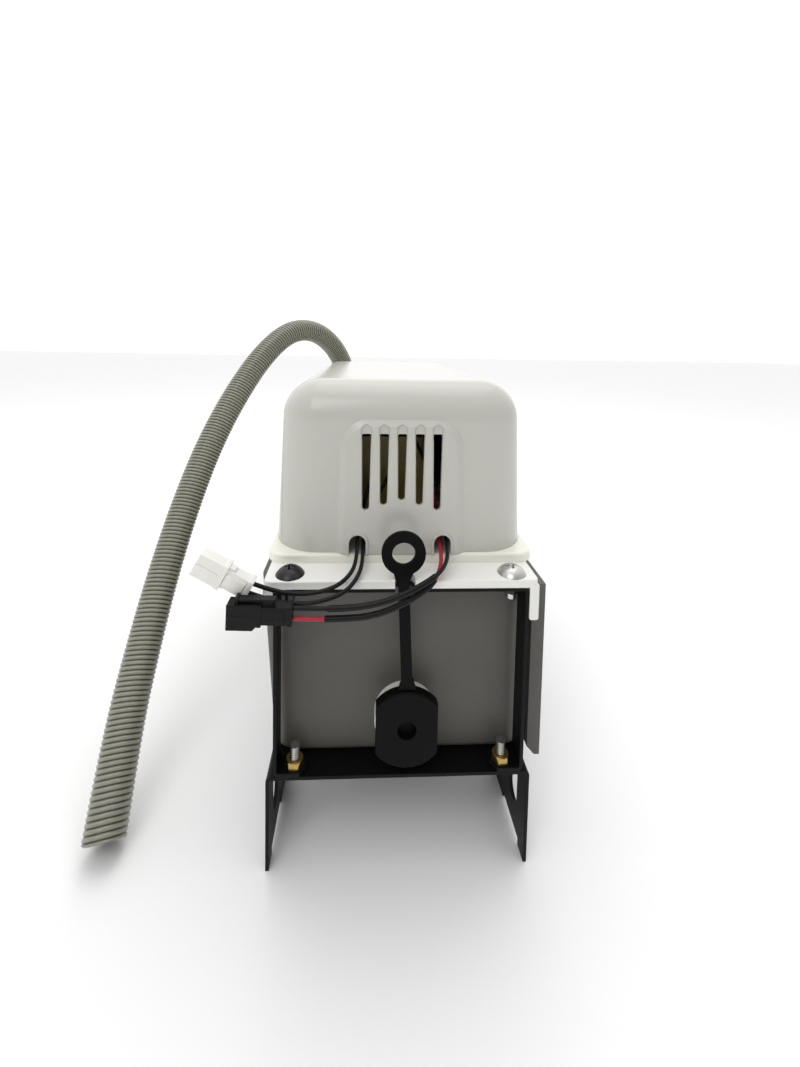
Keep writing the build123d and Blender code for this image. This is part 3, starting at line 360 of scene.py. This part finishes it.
def smooth_line(name, points, diameter):
    """A NURBS curve with these control points, round in section."""
    data = bpy.data.curves.new(name, "CURVE")
    data.dimensions = "3D"
    data.resolution_u = 12
    data.bevel_depth = diameter / 2
    data.bevel_resolution = 4
    data.use_fill_caps = True
    spline = data.splines.new("NURBS")
    spline.points.add(len(points) - 1)
    for point, place in zip(spline.points, points):
        point.co = (*place, 1)
    spline.order_u = 3
    spline.use_endpoint_u = True
    piece = bpy.data.objects.new(name, data)
    bpy.context.scene.collection.objects.link(piece)
    return piece


def centreline(points, step):
    """Evenly spaced points of the NURBS curve with these control points."""
    curve = smooth_line("centreline", points, 0.0)
    curve.data.resolution_u = 40
    bpy.context.view_layer.update()
    mesh = bpy.data.meshes.new_from_object(curve)
    line = [v.co.copy() for v in mesh.vertices]
    bpy.data.objects.remove(curve)
    if (line[0] - Vector(points[0])).length > (line[-1] - Vector(points[0])).length:
        line.reverse()
    total = sum((b - a).length for a, b in zip(line, line[1:]))
    count = round(total / step)
    even, walked, target = [line[0]], 0.0, total / count
    for a, b in zip(line, line[1:]):
        run = (b - a).length
        while len(even) < count and walked + run >= target * len(even):
            even.append(a.lerp(b, (target * len(even) - walked) / run))
        walked += run
    return even + [line[-1]]


def stations(line):
    """A frame at each point of a line, carried along it without twist."""
    made, side = [], None
    for n, place in enumerate(line):
        along = (line[min(n + 1, len(line) - 1)] - line[max(n - 1, 0)]).normalized()
        side = along.orthogonal() if side is None else side - along * side.dot(along)
        side.normalize()
        up = along.cross(side)
        turn = Matrix((side, up, along)).transposed().to_4x4()
        made.append(Matrix.Translation(place) @ turn)
    return made


hose_d, hose_bore, hose_pitch, rib = 0.018, 0.014, 0.0022, 0.0005
hose_sides, rows_per_rib = 28, 8
hose_route = in_frame([
    (-0.032, 0.118, 0.1512), (-0.032, 0.118, 0.1855), (-0.0415, 0.1035, 0.217), (-0.059, 0.079, 0.236),
    (-0.0785, 0.0565, 0.236), (-0.0963, 0.0345, 0.2165), (-0.1115, 0.011, 0.1865), (-0.123, -0.011, 0.155),
    (-0.13, -0.035, 0.1215), (-0.1336, -0.06, 0.089), (-0.1344, -0.084, 0.0595), (-0.1334, -0.107, 0.033),
    (-0.1288, -0.1315, 0.0064),
])
hose_line = centreline(hose_route, hose_pitch / rows_per_rib)


def swept(shape, line, segments, outline):
    """Rolls a grid round a line; the outline gives each place's radius and its mask of painted shade from row
    and turn.
    """
    rows, places = len(line) - 1, stations(line)
    bmesh.ops.create_grid(shape, x_segments=segments, y_segments=rows, size=0.5)
    share = shape.verts.layers.float.new("rib")
    for v in shape.verts:
        row, turn = round((v.co.y + 0.5) * rows), (v.co.x + 0.5) * 2 * math.pi
        radius, v[share] = outline(row, turn)
        v.co = places[row] @ Vector((radius * math.cos(turn), radius * math.sin(turn), 0))
    bmesh.ops.remove_doubles(shape, verts=shape.verts, dist=1e-6)
    for f in shape.faces:
        f.smooth = True


def hose_outline(row, turn):
    """Radius of the hose, whose ribs run round it as a helix, and its mask, which is low in the grooves where
    the colour has painted shade.
    """
    wave = 0.5 + 0.5 * math.cos(2 * math.pi * row / rows_per_rib - turn)
    crest = wave ** 0.6
    return hose_d / 2 - rib * (1 - crest), crest


hose_shape = bmesh.new()
swept(hose_shape, hose_line, hose_sides, hose_outline)
hose_vinyl = painted("hose_vinyl", (0.36, 0.37, 0.30), 0.12)
tree = hose_vinyl.node_tree
# The colour follows the mask: nearly black in the grooves between the ribs, which is painted shade, and olive
# grey on the crests.
groove_shade_mask = added(tree, "ShaderNodeAttribute", attribute_name="rib")
groove_shade_ramp = added(tree, "ShaderNodeValToRGB")
groove_shade_ramp.color_ramp.elements[0].color = (0.035, 0.035, 0.022, 1)
groove_shade_ramp.color_ramp.elements[1].color = (0.30, 0.30, 0.235, 1)
groove_shade_ramp.color_ramp.elements[0].position = 0.15
groove_shade_ramp.color_ramp.elements[1].position = 0.75
wire(tree, groove_shade_mask.outputs["Fac"], groove_shade_ramp.inputs["Fac"])
wire(tree, groove_shade_ramp.outputs["Color"], shader_of(hose_vinyl).inputs["Base Color"])
hose = piece_from("spring_hose", hose_shape, hose_vinyl)
solidify = hose.modifiers.new("wall", "SOLIDIFY")
solidify.thickness = (hose_d - hose_bore) / 2 - rib
solidify.offset = -1
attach(hose, "pump")
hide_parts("hose")


# Leads: two black wires of the alarm switch, and a red and a black supply wire, 1.75 mm over the
# insulation. They come out under the cover's arches and end in two small plugs.
black_wire = skinned("black_wire", (0.006, 0.006, 0.0065), (0.012, 0.012, 0.012), 0.32, cloud_size=200,
                     gloss=0.2, edge_radius=0.0)
red_wire = skinned("red_wire", (0.42, 0.012, 0.035), (0.34, 0.01, 0.03), 0.35, cloud_size=200,
                   edge_radius=0.0)
lead_d = 0.00175
alarm_a_route = in_frame([
    (-0.012, -0.0976, 0.164), (-0.012, -0.105, 0.164), (-0.0155, -0.1115, 0.156), (-0.0185, -0.116, 0.146),
    (-0.0197, -0.1215, 0.1378), (-0.0198, -0.13, 0.1329), (-0.0215, -0.139, 0.1313),
    (-0.027, -0.1435, 0.1282), (-0.035, -0.1444, 0.126), (-0.043, -0.1444, 0.1254),
    (-0.053, -0.1442, 0.1266), (-0.06189, -0.1442, 0.13017),
])
alarm_b_route = in_frame([
    (-0.004, -0.0976, 0.164), (-0.004, -0.105, 0.164), (-0.0095, -0.1105, 0.156), (-0.0145, -0.1135, 0.146),
    (-0.0169, -0.119, 0.1378), (-0.017, -0.129, 0.1329), (-0.0182, -0.1396, 0.131),
    (-0.024, -0.1455, 0.1262), (-0.0355, -0.1464, 0.1228), (-0.0445, -0.1454, 0.1218),
    (-0.0545, -0.1442, 0.1229), (-0.06395, -0.1442, 0.12651),
])
power_red_route = in_frame([
    (0.01, -0.0454, 0.187), (0.01, -0.062, 0.19), (0.011, -0.082, 0.191), (0.012, -0.098, 0.187),
    (0.0135, -0.107, 0.174), (0.0155, -0.111, 0.16), (0.0175, -0.1135, 0.147), (0.018, -0.119, 0.1383),
    (0.0178, -0.128, 0.1346), (0.0162, -0.137, 0.1324), (0.012, -0.144, 0.1292), (0.004, -0.148, 0.1256),
    (-0.006, -0.15, 0.1218), (-0.015, -0.151, 0.1198), (-0.024, -0.151, 0.1192),
    (-0.0342, -0.151, 0.11905), (-0.0455, -0.151, 0.11945),
])
power_black_route = in_frame([
    (-0.01, -0.0454, 0.187), (-0.01, -0.062, 0.1905), (-0.006, -0.082, 0.193), (0.002, -0.098, 0.19),
    (0.009, -0.108, 0.178), (0.0155, -0.112, 0.164), (0.0203, -0.114, 0.151), (0.021, -0.1186, 0.1393),
    (0.0208, -0.127, 0.1366), (0.019, -0.1365, 0.135), (0.0145, -0.1435, 0.133), (0.006, -0.148, 0.13),
    (-0.004, -0.1504, 0.1268), (-0.0135, -0.151, 0.1245), (-0.0235, -0.151, 0.1233),
    (-0.0342, -0.151, 0.1232), (-0.0455, -0.151, 0.12365),
])


# Plug housings: a white nylon one with a collar and rails on the alarm leads, and a black one with a
# latch on the supply leads. Each is moulded with an open mouth at its far end and a narrow tail.
nylon = skinned("nylon", (0.93, 0.925, 0.89), (0.86, 0.84, 0.76), 0.36, cloud_size=160, cloud_share=0.7)
plug_black = skinned("plug_black", (0.005, 0.005, 0.006), (0.010, 0.010, 0.010), 0.34, cloud_size=120,
                     gloss=0.15)
contact_tin = skinned("contact_tin", (0.72, 0.66, 0.45), (0.55, 0.50, 0.34), 0.3, metallic=1.0)
dress(contact_tin, "contact", "white_contacts", "black_contacts")


def bar(shape, x, y, z):
    """A straight bar between two places on each axis, in millimetres; gives back its faces."""
    middle = [(low + high) / 2000 for low, high in (x, y, z)]
    sides = [(high - low) / 1000 for low, high in (x, y, z)]
    place = Matrix.Translation(middle) @ Matrix.Diagonal((*sides, 1))
    corners = bmesh.ops.create_cube(shape, size=1, matrix=place)["verts"]
    return list({f for v in corners for f in v.link_faces})


def mouth_in(shape, faces, wall, depth):
    """Opens a bar's end on the -X side into a mouth with a wall round it."""
    end = min(faces, key=lambda f: f.calc_center_median().x)
    bmesh.ops.inset_region(shape, faces=[end], thickness=wall, depth=0)
    sunk = bmesh.ops.extrude_discrete_faces(shape, faces=[end])["faces"][0]
    bmesh.ops.translate(shape, verts=sunk.verts[:], vec=(depth, 0, 0))


def plug(name, shape, place, tilt, finish):
    """Turns a plug housing into its place, rounds its edges and lets it stand for the CAD node."""
    turn = Matrix.Translation(place) @ Matrix.Rotation(math.radians(tilt), 4, "Y")
    bmesh.ops.transform(shape, matrix=turn, verts=shape.verts)
    made = piece_from(name + "_housing", shape, finish)
    rounded = made.modifiers.new("rounded", "BEVEL")
    rounded.width, rounded.segments, rounded.limit_method = 0.00025, 2, "ANGLE"
    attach(made, "pump")
    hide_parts(name)
    return made


white_shape = bmesh.new()
mouth_in(white_shape, bar(white_shape, (-24, -12.4), (-3.3, 3.3), (-4.7, 4.7)), 0.0009, 0.0085)
for x, y, z in (
    ((-13.2, -11.4), (-3.55, 3.55), (-5.0, 5.0)),      # collar
    ((-11.9, -1.7), (-2.7, 2.7), (-3.75, 3.75)),       # body
    ((-11.6, -8.8), (-1.8, 1.8), (3.6, 4.7)),          # upper rail
    ((-11.6, -10.2), (-1.8, 1.8), (-4.7, -3.6)),       # lower rail
    ((-11.2, -2.6), (-3.1, -2.5), (-2.5, 2.5)),        # raised front
    ((-11.2, -2.6), (2.5, 3.1), (-2.5, 2.5)),          # raised back
    ((-1.9, 0), (-2.9, 2.9), (-3.95, 3.95)),           # end ring
    ((-23.4, -14.2), (-3.6, -3.2), (-0.7, 0.7)),       # rib on the mouth
):
    bar(white_shape, x, y, z)
white_plug = plug("white_connector", white_shape, (-0.06195 - side_shift, -0.1442, 0.1278), 29.3, nylon)

black_shape = bmesh.new()
mouth = bar(black_shape, (-25, -13.2), (-3.1, 3.1), (-5.6, 4.4))
low_edge = [e for e in {e for f in mouth for e in f.edges}
            if all(v.co.x > -0.014 and v.co.z < 0 for v in e.verts)]
bmesh.ops.bevel(black_shape, geom=low_edge, offset=0.0018, affect="EDGES", segments=1, profile=0.5,
                material=-1)
mouth_in(black_shape, black_shape.faces[:], 0.001, 0.009)
for x, y, z in (
    ((-13.6, -1.6), (-2.7, 2.7), (-3.5, 3.5)),         # body
    ((-13.4, -11.8), (-3.0, 3.0), (-4.3, 4.3)),        # shoulder
    ((-1.8, 0), (-2.9, 2.9), (-3.7, 3.7)),             # end ring
    ((-12.4, -7.4), (-1.5, 1.5), (3.3, 5.2)),          # latch foot
    ((-21.4, -6.6), (-1.7, 1.7), (5.0, 6.1)),          # latch arm
    ((-22.2, -20.8), (-2.4, 2.4), (4.4, 6.5)),         # latch hook
    ((-24.2, -15.4), (-3.3, -3.0), (-1.2, 0.4)),       # rib on the mouth
    ((-10.6, -3.2), (-2.95, -2.6), (-2.4, 2.4)),       # raised front
):
    bar(black_shape, x, y, z)
black_plug = plug("black_connector", black_shape, (-0.044 - side_shift, -0.151, 0.1215), 2.0, plug_black)


# Shrink sleeves: black tubes over the supply leads, from before the crossing to near the plug.
sleeve_d, sleeve_step, sleeve_sides = 0.0025, 0.0006, 20
sleeves = {}
for name, route, ends in (("red_lead_sleeve", power_red_route, (0.68, 0.93)),
                          ("black_lead_sleeve", power_black_route, (0.70, 0.925))):
    lead_line = centreline(route, sleeve_step)
    first, last = (round(end * (len(lead_line) - 1)) for end in ends)
    sleeve_shape = bmesh.new()
    swept(sleeve_shape, lead_line[first:last + 1], sleeve_sides, lambda row, turn: (sleeve_d / 2, 0.0))
    bmesh.ops.holes_fill(sleeve_shape, edges=[e for e in sleeve_shape.edges if e.is_boundary])
    sleeves[name] = piece_from(name + "_tube", sleeve_shape, black_wire)
    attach(sleeves[name], "pump")
    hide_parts(name)

# Each lead runs through its sleeve, if it has one, into the tail of its plug.
for name, route, finish, slot_name, length in (
    ("alarm_lead_a", alarm_a_route, black_wire, "black_wire", 0.101),
    ("alarm_lead_b", alarm_b_route, black_wire, "black_wire", 0.111),
    ("power_lead_red", power_red_route, red_wire, "red_wire", 0.194),
    ("power_lead_black", power_black_route, black_wire, "black_wire", 0.203),
):
    lead = smooth_line(name + "_wire", route, lead_d)
    lead.data.materials.append(finish)
    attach(lead, "pump")
    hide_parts(name)
